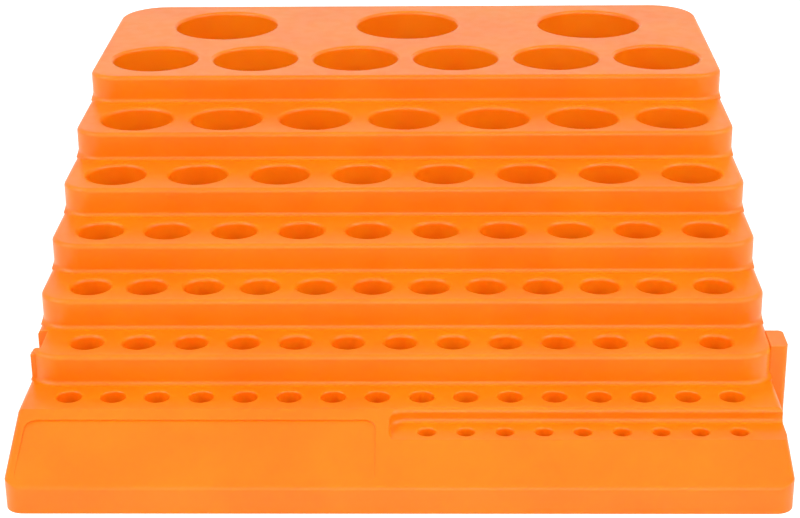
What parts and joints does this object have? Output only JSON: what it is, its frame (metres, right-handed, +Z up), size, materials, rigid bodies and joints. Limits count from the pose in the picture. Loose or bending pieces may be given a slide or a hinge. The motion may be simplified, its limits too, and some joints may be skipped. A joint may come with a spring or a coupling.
{
  "type": "bit organizer",
  "caption": "Stepped one-piece stand with rows of blind holes that hold bits, drills and cutters upright by shank size, rising from a ramp at the front.",
  "frame": {"origin": "middle of the footprint, link tab included, at table level", "axes": "+X to the right seen from the front, +Y from the low front to the high back, +Z up along the holes"},
  "size_m": [0.192, 0.227, 0.064],
  "materials": {
    "orange_plastic": "satin moulded plastic, bright orange, through-coloured"
  },
  "bodies": {
    "root": {"stand": "orange_plastic"}
  },
  "joints": []
}
